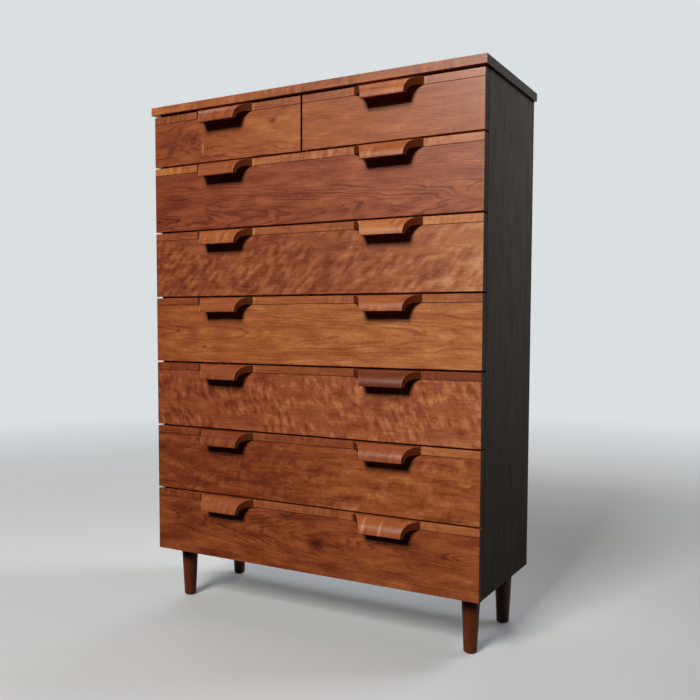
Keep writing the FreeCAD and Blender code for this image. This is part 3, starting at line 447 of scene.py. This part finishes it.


# Drawers

# The figure of each drawer front: flat sawn arches, curl or mottle, with its own marks.
# Each front's drift brightens it towards the right: partly the board's own tone, partly painted
# light.
FRONTS = {
    "short_drawer_left": {
        "heart": (1.33, -0.02),
        "lean": (0.0, 0.02),
        "seed": 1.1,
        "tone": 0.59,
        "drift": ((-0.45, 0.0), (-0.26, 0.05), (-0.05, 0.15)),
        "marks": [
            (-0.44, 1.33, 0.10, 0.07, -0.20, 6),
            (-0.355, 1.33, 0.035, 0.035, -0.25, 8),
            (-0.325, 1.305, 0.005, 0.040, 0.5, 4),
            (-0.09, 1.352, 0.022, 0.016, -0.40, 13),
        ],
    },
    "short_drawer_right": {
        "heart": (1.20, 0.02),
        "lean": (0.10, 0.02),
        "seed": 2.3,
        "tone": 0.70,
        "rings": 0.16,
        "clouds": 0.42,
        "streaks": 0.28,
        "mottle": 0.18,
    },
    "wide_drawer_1": {
        "heart": (1.105, -0.115),
        "lean": (0.0, -0.05),
        "ring_step": 4.6 * MM,
        "wander": 9 * MM,
        "waver": 0.3 * MM,
        "clouds": 0.6,
        "seed": 3.7,
        "colours": RED_CHERRY,
        "tone": 0.59,
        "rings": 0.32,
        "drift": ((-0.45, -0.06), (0.0, 0.03), (0.45, 0.09)),
        "flecks": 0.35,
        "marks": [
            (-0.42, 1.16, 0.10, 0.05, -0.12, 4),
            (-0.365, 1.195, 0.03, 0.006, -0.35, 4),
            (0.50, 1.128, 0.11, 0.032, 0.10, 26),
            (0.10, 1.115, 0.06, 0.014, 0.06, 14),
        ],
    },
    "wide_drawer_2": {
        "heart": (0.96, 0.0),
        "seed": 4.9,
        "colours": PINK_CHERRY,
        "tone": 0.56,
        "rings": 0.10,
        "drift": (
            (-0.45, -0.05),
            (-0.26, 0.05),
            (-0.07, -0.04),
            (0.1, 0.02),
            (0.26, 0.03),
            (0.45, 0.26),
        ),
        "curl": 0.32,
        "curl_step": 15 * MM,
        "curl_length": 40 * MM,
        "curl_slant": 48,
        "curl_from": 0.28,
        "mottle": 0.2,
        "marks": [(-0.30, 0.99, 0.02, 0.02, -0.25, 8)],
    },
    "wide_drawer_3": {
        "heart": (0.79, -0.11),
        "lean": (0.01, -0.04),
        "ring_step": 4.5 * MM,
        "seed": 5.3,
        "tone": 0.75,
        "drift": ((-0.45, -0.10), (-0.26, 0.0), (0.0, 0.0), (0.45, 0.08)),
        "rings": 0.17,
        "clouds": 0.55,
        "streaks": 0.3,
        "mottle": 0.2,
        "marks": [
            (-0.42, 0.797, 0.014, 0.006, -0.6, 6),
            (-0.325, 0.752, 0.012, 0.005, -0.6, 6),
        ],
    },
    "wide_drawer_4": {
        "heart": (0.62, 0.0),
        "seed": 6.1,
        "colours": RED_CHERRY,
        "tone": 0.68,
        "drift": ((-0.45, -0.05), (-0.26, -0.05), (0.05, 0.06), (0.45, 0.11)),
        "rings": 0.10,
        "curl": 0.36,
        "curl_step": 13 * MM,
        "curl_length": 30 * MM,
        "curl_slant": -25,
        "curl_from": 0.3,
        "mottle": 0.25,
        "marks": [(0.45, 0.56, 0.03, 0.018, -0.3, 9)],
    },
    "wide_drawer_5": {
        "heart": (0.42, -0.02),
        "seed": 7.7,
        "tone": 0.58,
        "drift": ((-0.45, -0.07), (-0.1, -0.13), (0.1, 0.07), (0.45, 0.11)),
        "rings": 0.14,
        "clouds": 0.75,
        "streaks": 0.3,
        "curl": 0.2,
        "curl_step": 14 * MM,
        "curl_length": 30 * MM,
        "mottle": 0.3,
        "flecks": 0.3,
    },
    "wide_drawer_6": {
        "heart": (0.255, -0.12),
        "lean": (0.0, 0.08),
        "ring_step": 4.2 * MM,
        "wander": 9 * MM,
        "seed": 8.9,
        "tone": 0.56,
        "drift": ((-0.45, -0.04), (0.0, -0.02), (0.45, 0.07)),
        "rings": 0.26,
        "clouds": 0.7,
        "mottle": 0.2,
        "marks": [
            (0.045, 0.235, 0.045, 0.040, -0.50, 16),
            (-0.05, 0.30, 0.05, 0.02, -0.30, 8),
            (-0.42, 0.28, 0.09, 0.05, -0.20, 5),
        ],
    },
}

# The edge strips and pulls are cut from curly offcuts, each of its own tone. The strip's
# tones are for its left, middle and right lengths, and the pulls' for the left and right.
# The last number is how much paler the strip is beside each pull, a painted highlight.
TONES = {
    "short_drawer_left": ((0.59, 0.64, 0.64), (0.63, 0.63), 0.20),
    "short_drawer_right": ((0.66, 0.66, 0.72), (0.73, 0.73), 0.08),
    "wide_drawer_1": ((0.80, 0.75, 0.82), (0.65, 0.72), 0.18),
    "wide_drawer_2": ((0.64, 0.70, 0.86), (0.73, 0.82), 0.20),
    "wide_drawer_3": ((0.58, 0.73, 0.71), (0.67, 0.70), 0.12),
    "wide_drawer_4": ((0.51, 0.62, 0.51), (0.58, 0.37), 0.14),
    "wide_drawer_5": ((0.55, 0.58, 0.80), (0.51, 0.63), 0.08),
    "wide_drawer_6": ((0.52, 0.69, 0.78), (0.66, 0.70), 0.00),
}
CURLY = {
    "rings": 0.14,
    "curl": 0.26,
    "curl_step": 11 * MM,
    "curl_length": 60 * MM,
    "curl_slant": 8,
    "clouds": 0.25,
    "tone": 0.0,
    "specular": 1.0,
}

# Pale bands of figure across a pull, each as a mark on the wood.
PALE_BANDS = {
    "wide_drawer_4": [(0.215, 0.50, 0.012, 0.04, 0.10, 2)],
    "wide_drawer_5": [(-0.24, 0.305, 0.02, 0.02, 0.18, 2)],
    "wide_drawer_6": [(0.203, 0.31, 0.008, 0.05, 0.40, 0), (0.252, 0.31, 0.006, 0.05, 0.35, 0)],
}

# The pulls stand this far each way from the middle, and their roots end at the inner and the
# outer place. A painted highlight makes the strip pale for a few millimetres on the right of
# each pull, and less so beside the right one.
PULL_PLACE = 0.25
ROOT_INNER, ROOT_OUTER = 0.1562, 0.3462
STRIP_HIGHLIGHT_WIDTH = 6 * MM
OUTER_HIGHLIGHT_SHARE = 0.3

# The heart of the offcuts' log is this far above the heart of the front's, and this deep.
# Their seeds are the front's with a step added.
OFFCUT_ABOVE, OFFCUT_DEPTH = 0.2, 0.15
STRIP_SEED, PULL_SEED = 3, 6


def front_cherry(drawer):
    """Oiled cherry: a warm satin face, each board with a figure of its own and partly painted
    light brightening it towards the right, and end grain that is dark and dull, partly from the
    oil and partly painted shade."""
    return wood(
        "cherry_oiled_%s_front" % drawer,
        end_colour=CHERRY_END_AND_SHADE,
        seam=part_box(drawer + "_edge_strip")[0][2],
        **FRONTS[drawer],
    )


def strip_cherry(drawer):
    """Curly oiled cherry: short waves of light across a glossier strip, a new tone in each
    length of it, and a painted highlight on the strip just right of each pull."""
    left, middle, right = TONES[drawer][0]
    worn = TONES[drawer][2]
    figure = FRONTS[drawer]
    return wood(
        "cherry_oiled_%s_strip" % drawer,
        heart=(figure["heart"][0] + OFFCUT_ABOVE, OFFCUT_DEPTH),
        end_colour=CHERRY_END_AND_SHADE,
        seed=figure["seed"] + STRIP_SEED,
        # Beside each pull's root the zones hold a painted highlight.
        zones=(
            (-HALF_SPAN, left),
            (-PULL_PLACE, middle + worn),
            (STRIP_HIGHLIGHT_WIDTH - ROOT_INNER, middle),
            (PULL_PLACE, right + OUTER_HIGHLIGHT_SHARE * worn),
            (STRIP_HIGHLIGHT_WIDTH + ROOT_OUTER, right),
        ),
        **CURLY,
    )


def pull_cherry(drawer):
    """Curly oiled cherry that hands have polished: the closest gloss of all, dark scooped ends
    that are partly end grain and partly painted shade, and painted highlights along the arrises
    round them."""
    left, right = TONES[drawer][1]
    figure = FRONTS[drawer]
    return wood(
        "cherry_oiled_%s_pull" % drawer,
        heart=(figure["heart"][0] + OFFCUT_ABOVE, OFFCUT_DEPTH),
        end_colour=SCOOP_END_AND_SHADE,
        end_turn=(0.03, 0.35),
        worn_arris=PAINTED_ARRIS_HIGHLIGHT,
        roughness=0.30,
        seed=figure["seed"] + PULL_SEED,
        zones=((-HALF_SPAN, left), (0.0, right)),
        marks=PALE_BANDS.get(drawer, ()),
        **CURLY,
    )


def sanded_plywood():
    """Sanded birch plywood: pale, dry and broad in its figure, as peeled veneer is."""
    return wood(
        "birch_plywood_sanded",
        ("#9c7a4e", "#b8935f", "#c9a873", "#d8bd8c"),
        heart=(0.6, 0.4),
        ring_step=14 * MM,
        roughness=0.55,
        specular=0.4,
    )


def sealed_poplar():
    """Poplar under a clear seal: a pale quiet wood with a faint gloss."""
    return wood(
        "poplar_clear_sealed",
        ("#a87f4f", "#c29a68", "#d4b080", "#e0c59a"),
        grain="Y",
        heart=(0.6, 0.3),
        roughness=0.5,
        specular=0.4,
    )


def give(node, material):
    """Puts one material on all of a CAD node."""
    slots = nodes[node].data.materials
    slots.clear()
    slots.append(material)


def dress_drawers(ply, poplar):
    for drawer in DRAWERS:
        give(drawer + "_front", front_cherry(drawer))
        give(drawer + "_edge_strip", strip_cherry(drawer))
        pulls = "_pulls" if drawer in WIDE_DRAWERS else "_pull"
        give(drawer + pulls, pull_cherry(drawer))
        give(drawer + "_box", poplar)
        give(drawer + "_bottom", ply)


# Case

def top_cherry():
    """Oiled cherry with a light curl, a little duller than the fronts, with dark grey ends that
    are partly end grain and partly painted shade.
    """
    return wood(
        "cherry_oiled_top",
        heart=(-0.1, 1.2),
        tone=0.66,
        drift=((-0.45, 0.09), (-0.1, 0.0), (0.45, 0.0)),
        rings=0.10,
        curl=0.3,
        curl_step=11 * MM,
        curl_length=60 * MM,
        curl_slant=8,
        end_colour=TOP_END_AND_SHADE,
        roughness=0.40,
        specular=0.75,
        seed=11,
    )


def dark_side_wood():
    """Hardwood in a dark grey brown, nearly black and matt, the grain just showing."""
    return wood(
        "hardwood_dark_grey_brown",
        ("#2a2420", "#443b34", "#5f544b", "#796b5f"),
        grain="Z",
        heart=(0.05, 0.62),
        lean=(0.02, 0.03),
        ring_step=6 * MM,
        rings=0.12,
        clouds=0.35,
        streaks=0.14,
        fibre=0.12,
        roughness=0.6,
        specular=0.01,
        seed=5,
    )


def leg_cherry():
    """Turned cherry, oiled and dark with age: long streaks down a soft gloss."""
    return wood(
        "cherry_oiled_leg",
        AGED_CHERRY,
        grain="Z",
        heart=(-0.10, 0.30),
        rings=0.14,
        clouds=0.2,
        streaks=0.32,
        fibre=0.18,
        tone=0.27,
        specular=0.25,
        seed=9,
    )


def waxed_beech():
    """Waxed beech: plain, straight and tan, polished a little by the drawers."""
    return wood(
        "beech_waxed",
        ("#8d6238", "#a87a4b", "#bd9060", "#cfa676"),
        grain="Y",
        heart=(0.7, 0.5),
        roughness=0.4,
    )


def nylon():
    """Moulded black nylon: the dull skin of its mould, whose grit is finer than it is
    drawn here, so that it shows."""
    material, tree, shader = new_material("nylon_moulded_black")
    place = add(tree, "ShaderNodeTexCoord").outputs["Object"]
    grit = add(
        tree, "ShaderNodeTexNoise", {"Vector": place, "Scale": 1 / (1.5 * MM), "Detail": 2.0}
    )
    dull = add(tree, "ShaderNodeMapRange", {"Value": grit, "To Min": 0.4, "To Max": 0.6})
    feed(tree, shader, {"Base Color": linear("#1c1b1a"), "Roughness": dull, "IOR": 1.53})
    return material


def felt():
    """Pressed wool felt: brown, with a soft bloom of loose fibres, which are drawn coarser
    than they are, so that they show."""
    material, tree, shader = new_material("wool_felt_pressed")
    place = add(tree, "ShaderNodeTexCoord").outputs["Object"]
    fluff = add(
        tree, "ShaderNodeTexNoise", {"Vector": place, "Scale": 1 / (0.8 * MM), "Detail": 4.0}
    )
    colour = add(
        tree,
        "ShaderNodeMix",
        {0: fluff, 6: linear("#3d2b20"), 7: linear("#6b4f3c")},
        data_type="RGBA",
    ).outputs[2]
    feed(tree, shader, {"Base Color": colour, "Roughness": 0.95, "Sheen Weight": 0.3})
    return material


def dress_case(ply, poplar):
    finishes = [
        (top_cherry(), ["top_panel"]),
        (dark_side_wood(), ["side_left", "side_right", "rear_stiles"]),
        (leg_cherry(), ["front_legs", "rear_legs"]),
        (waxed_beech(), ["side_runners", "centre_runners"]),
        (poplar, ["base_panel", "shelf", "partition", "drawer_rails", "top_rails"]),
        (ply, ["back_panel"]),
        (nylon(), ["foot_glides"]),
        (felt(), ["bumpers"]),
    ]
    for material, dressed in finishes:
        for node in dressed:
            give(node, material)


# Screws

HEAD_SIDES = 28

# A pan head's outline, from under its rim to its flat crown, as shares of its radius and
# height. Its cross recess has arms this long and half this wide, as shares of the radius,
# and narrows towards its bottom.
HEAD_OUTLINE = ((0.94, -0.15), (1.0, 0.0), (0.97, 0.35), (0.84, 0.7), (0.62, 0.91), (0.34, 1.0))
RECESS_ARM, RECESS_HALF, RECESS_TAPER = 0.50, 0.13, 0.6

# The back's screws stand in rows of seven over the wood behind them, and in a column down
# each side. The runners have three screws each, set in from their ends.
BACK_ROWS = ("base_panel", "shelf", "top_rails")
BACK_REACH = 0.42
BACK_COUNT = 7
COLUMN_MARGIN = 60 * MM
RUNNER_COUNT = 3
RUNNER_MARGIN = 30 * MM


def zinc():
    """Bright zinc plating on steel: a soft metal gleam, a little cloudy from handling."""
    material, tree, shader = new_material("steel_zinc_plated")
    place = add(tree, "ShaderNodeTexCoord").outputs["Object"]
    cloud = add(
        tree, "ShaderNodeTexNoise", {"Vector": place, "Scale": 1 / (2 * MM), "Detail": 3.0}
    )
    colour = add(
        tree,
        "ShaderNodeMix",
        {0: cloud, 6: linear("#a9adb0"), 7: linear("#d0d2d0")},
        data_type="RGBA",
    ).outputs[2]
    satin = add(tree, "ShaderNodeMapRange", {"Value": cloud, "To Min": 0.25, "To Max": 0.45})
    feed(tree, shader, {"Base Color": colour, "Roughness": satin, "Metallic": 1.0})
    return material


def closed_shape(name, rings):
    """A solid from rings of points, the first at its bottom and the last at its top."""
    mesh = bpy.data.meshes.new(name)
    shape = bmesh.new()
    rows = [[shape.verts.new(point) for point in ring] for ring in rings]
    for below, above in zip(rows, rows[1:]):
        for place in range(len(below)):
            after = (place + 1) % len(below)
            shape.faces.new((below[place], below[after], above[after], above[place]))
    shape.faces.new(reversed(rows[0]))
    shape.faces.new(rows[-1])
    shape.to_mesh(mesh)
    shape.free()
    solid = bpy.data.objects.new(name, mesh)
    bpy.context.scene.collection.objects.link(solid)
    return solid


def plain_mesh(piece):
    """The mesh that a piece has after its modifiers."""
    bpy.context.view_layer.update()
    return bpy.data.meshes.new_from_object(
        piece.evaluated_get(bpy.context.evaluated_depsgraph_get())
    )


def screw_head(name, radius, height, recess_depth):
    """A domed head with a cross recess, its seat at the origin and its axis along Z."""
    turns = [math.tau * step / HEAD_SIDES for step in range(HEAD_SIDES)]
    circle = [(math.cos(turn), math.sin(turn)) for turn in turns]
    head = closed_shape(
        name,
        [
            [(radius * out * x, radius * out * y, height * up) for x, y in circle]
            for out, up in HEAD_OUTLINE
        ],
    )
    arm, half = RECESS_ARM * radius, RECESS_HALF * radius
    corners = [(arm, -half), (arm, half), (half, half)]
    corners += [(half, arm), (-half, arm), (-half, half)]
    corners += [(-x, -y) for x, y in corners]
    levels = [(RECESS_TAPER, height - recess_depth), (1.0, height + 0.1 * MM)]
    cross = closed_shape(
        name + "_recess", [[(x * k, y * k, up) for x, y in corners] for k, up in levels]
    )
    cut = head.modifiers.new("recess", "BOOLEAN")
    cut.object = cross
    cut.operation = "DIFFERENCE"
    head.data = plain_mesh(head)
    head.modifiers.clear()
    bpy.data.objects.remove(cross)
    return head


def screws_tree():
    """One screw on each seat, turned to face out of it and stopped at a chance angle."""
    tree = bpy.data.node_groups.new("screws_on_seats", "GeometryNodeTree")
    sockets = tree.interface
    sockets.new_socket("Geometry", in_out="INPUT", socket_type="NodeSocketGeometry")
    sockets.new_socket("Screw", in_out="INPUT", socket_type="NodeSocketObject")
    sockets.new_socket("Metal", in_out="INPUT", socket_type="NodeSocketMaterial")
    sockets.new_socket("Seed", in_out="INPUT", socket_type="NodeSocketInt")
    sockets.new_socket("Geometry", in_out="OUTPUT", socket_type="NodeSocketGeometry")
    given = add(tree, "NodeGroupInput").outputs
    screw = add(tree, "GeometryNodeObjectInfo", {"Object": given["Screw"], "As Instance": True})
    facing = add(
        tree, "GeometryNodeInputNamedAttribute", {"Name": "facing"}, data_type="FLOAT_VECTOR"
    )
    turn = add(
        tree,
        "FunctionNodeRandomValue",
        {"Max": (0.0, 0.0, math.tau), "Seed": given["Seed"]},
        data_type="FLOAT_VECTOR",
    )
    turned = add(
        tree,
        "FunctionNodeAlignRotationToVector",
        {"Rotation": turn.outputs["Value"], "Vector": facing.outputs["Attribute"]},
        axis="Z",
    )
    placed = add(
        tree,
        "GeometryNodeInstanceOnPoints",
        {
            "Points": given["Geometry"],
            "Instance": screw.outputs["Geometry"],
            "Rotation": turned.outputs["Rotation"],
        },
    )
    real = add(tree, "GeometryNodeRealizeInstances", {"Geometry": placed})
    made = add(
        tree, "GeometryNodeSetMaterial", {"Geometry": real, "Material": given["Metal"]}
    )
    add(tree, "NodeGroupOutput", {"Geometry": made})
    return tree


def drive_screws(name, seats, tree, head, metal, seed):
    """Screws at the seats, each a place and the direction that its head faces."""
    mesh = bpy.data.meshes.new(name)
    mesh.from_pydata([place for place, facing in seats], [], [])
    facings = mesh.attributes.new("facing", "FLOAT_VECTOR", "POINT")
    for value, (place, facing) in zip(facings.data, seats):
        value.vector = facing
    screws = bpy.data.objects.new(name, mesh)
    bpy.context.scene.collection.objects.link(screws)
    modifier = screws.modifiers.new("screws", "NODES")
    modifier.node_group = tree
    inputs = [item for item in tree.interface.items_tree if item.in_out == "INPUT"]
    names = {item.name: item.identifier for item in inputs}
    modifier[names["Screw"]] = head
    modifier[names["Metal"]] = metal
    modifier[names["Seed"]] = seed
    screws.data = plain_mesh(screws)
    screws.modifiers.clear()
    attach(screws, "carcass")


def evenly(low, high, count):
    """Places at even steps, the first and the last at the two ends."""
    return [low + (high - low) * step / (count - 1) for step in range(count)]


def back_seats():
    """Round the back panel and along the shelf, through to the wood behind each."""
    low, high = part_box("back_panel")
    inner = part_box("side_right")[0][0]
    column = (inner + high[0]) / 2
    rows = [sum(corner[2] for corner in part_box(node)) / 2 for node in BACK_ROWS]
    places = [(x, z) for z in rows for x in evenly(-BACK_REACH, BACK_REACH, BACK_COUNT)]
    heights = evenly(rows[0] + COLUMN_MARGIN, rows[1] - COLUMN_MARGIN, BACK_COUNT)
    heights.append((rows[1] + rows[2]) / 2)
    places += [(side * column, z) for side in (-1, 1) for z in heights]
    return [((x, high[1], z), (0, 1, 0)) for x, z in places]


def runner_seats():
    """Three screws in each runner, through the face that the drawer slides along."""
    seats = []
    for node, outwards in (("side_runners", False), ("centre_runners", True)):
        points = [vertex.co for vertex in nodes[node].data.vertices]
        face = (max if outwards else min)(abs(point.x) for point in points)
        low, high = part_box(node)
        levels = sorted({round(point.z, 4) for point in points})
        for bottom, top in zip(levels[::2], levels[1::2]):
            for y in evenly(low[1] + RUNNER_MARGIN, high[1] - RUNNER_MARGIN, RUNNER_COUNT):
                for side in (-1, 1):
                    facing = side if outwards else -side
                    seats.append(((side * face, y, (bottom + top) / 2), (facing, 0, 0)))
    return seats


def fit_screws():
    metal = zinc()
    tree = screws_tree()
    pan = screw_head("pan_head", radius=3.6 * MM, height=2.2 * MM, recess_depth=1.2 * MM)
    flush = screw_head("flush_head", radius=3.2 * MM, height=0.12 * MM, recess_depth=0.08 * MM)
    drive_screws("back_screws", back_seats(), tree, pan, metal, seed=3)
    drive_screws("runner_screws", runner_seats(), tree, flush, metal, seed=7)
    for head in (pan, flush):
        bpy.data.objects.remove(head)


# Floor, lights and camera

FLOOR = "#ced2d4"
FLOOR_UNLIT = "#1f2021"
BACKDROP = "#dadfe2"
SHADE = "#dfe6ee"
SHADE_FILL = 0.012


def seen_directly(tree, depth, nearest, farthest):
    """1 for what the camera sees, and 0 for the light that falls on the object. Metal and
    gloss show the pale background too, but only towards the back, where depth grows, so
    that satin wood keeps its depth of colour."""
    path = add(tree, "ShaderNodeLightPath").outputs
    mirrored = add(
        tree,
        "ShaderNodeMath",
        {0: path["Is Glossy Ray"], 1: path["Is Transmission Ray"]},
        operation="MAXIMUM",
    )
    behind = add(
        tree, "ShaderNodeMapRange", {"Value": depth, "From Min": nearest, "From Max": farthest}
    )
    mirrored = add(tree, "ShaderNodeMath", {0: mirrored, 1: behind}, operation="MULTIPLY")
    return add(
        tree, "ShaderNodeMath", {0: path["Is Camera Ray"], 1: mirrored}, operation="MAXIMUM"
    )


def make_floor():
    """A plain pale floor. It keeps the shadows, glows into the backdrop far away, and
    throws little light back up."""
    bpy.ops.mesh.primitive_plane_add(size=40)
    floor = bpy.context.object
    floor.name = "floor"
    material, tree, shader = new_material("pale_studio_floor")
    feed(
        tree, shader, {"Base Color": linear(FLOOR), "Roughness": 0.9, "Specular IOR Level": 0.1}
    )
    glow = add(tree, "ShaderNodeEmission", {"Color": linear(BACKDROP), "Strength": 1.0})
    place = add(tree, "ShaderNodeTexCoord").outputs["Object"]
    away = add(tree, "ShaderNodeVectorMath", {0: place}, operation="LENGTH").outputs["Value"]
    far = add(
        tree,
        "ShaderNodeMapRange",
        {"Value": away, "From Min": 0.6, "From Max": 5.5, "To Min": 0.08, "To Max": 1.0},
        interpolation_type="SMOOTHSTEP",
    )
    lifted = add(tree, "ShaderNodeMixShader", {0: far, 1: shader, 2: glow})
    dim = add(tree, "ShaderNodeBsdfDiffuse", {"Color": linear(FLOOR_UNLIT)})
    depth = add(tree, "ShaderNodeSeparateXYZ", {"Vector": place}).outputs["Y"]
    seen = seen_directly(tree, depth, nearest=-0.4, farthest=0.1)
    choice = add(tree, "ShaderNodeMixShader", {0: seen, 1: dim, 2: lifted})
    feed(tree, tree.nodes["Material Output"], {"Surface": choice})
    floor.data.materials.append(material)


def add_lamp(name, place, aim, size, power, colour, spread=180):
    """A soft panel of light, with its power in watts. A spread in degrees that is under
    180 keeps its light near its aim."""
    lamp = bpy.data.lights.new(name, "AREA")
    lamp.shape = "RECTANGLE"
    lamp.size, lamp.size_y = size
    lamp.energy = power
    lamp.color = linear(colour)[:3]
    lamp.spread = math.radians(spread)
    stand = bpy.data.objects.new(name, lamp)
    bpy.context.scene.collection.objects.link(stand)
    stand.location = place
    direction = Vector(aim) - stand.location
    stand.rotation_euler = direction.to_track_quat("-Z", "Y").to_euler()


def light_scene():
    """A soft window light from the front and above, with weak fills behind and beside it."""
    world = bpy.data.worlds.new("studio")
    bpy.context.scene.world = world
    world.use_nodes = True
    tree = world.node_tree
    fill = tree.nodes["Background"]
    feed(tree, fill, {"Color": linear(SHADE), "Strength": SHADE_FILL})
    backdrop = add(tree, "ShaderNodeBackground", {"Color": linear(BACKDROP), "Strength": 1.0})
    direction = add(tree, "ShaderNodeTexCoord").outputs["Generated"]
    depth = add(tree, "ShaderNodeSeparateXYZ", {"Vector": direction}).outputs["Y"]
    seen = seen_directly(tree, depth, nearest=-0.2, farthest=0.3)
    choice = add(tree, "ShaderNodeMixShader", {0: seen, 1: fill, 2: backdrop})
    feed(tree, tree.nodes["World Output"], {"Surface": choice})
    add_lamp("window", (-0.2, -6.2, 4.9), (0, -0.1, 0.75), (2.3, 2.2), 610, "#fff8f0")
    add_lamp("right_fill", (1.3, 1.05, 2.35), (0.5, 0.3, 1.45), (1.2, 1.2), 6.4, "#f2f6ff", 60)
    add_lamp("left_fill", (-1.9, 0.7, 2.4), (-0.5, 0.1, 0.9), (1.2, 1.2), 12, "#f2f6ff")
    add_lamp("back_fill", (-1.2, 3.4, 2.6), (0, 0.2, 0.7), (2.0, 2.0), 45, "#fff8f0")


def make_camera():
    """The photograph's view: eye height below the top, a little to the right."""
    camera = bpy.data.cameras.new("camera")
    camera.sensor_width = 36
    camera.lens = 42.48
    camera.shift_y = 0.03505
    stand = bpy.data.objects.new("camera", camera)
    stand.location = (1.17698, -1.99427, 0.81792)
    stand.rotation_euler = [math.radians(angle) for angle in (86.46998, -0.17817, 29.43579)]
    bpy.context.scene.collection.objects.link(stand)
    bpy.context.scene.camera = stand


plywood = sanded_plywood()
poplar_wood = sealed_poplar()
dress_drawers(plywood, poplar_wood)
dress_case(plywood, poplar_wood)
fit_screws()
make_floor()
light_scene()
make_camera()
bpy.context.scene.view_settings.view_transform = "Standard"
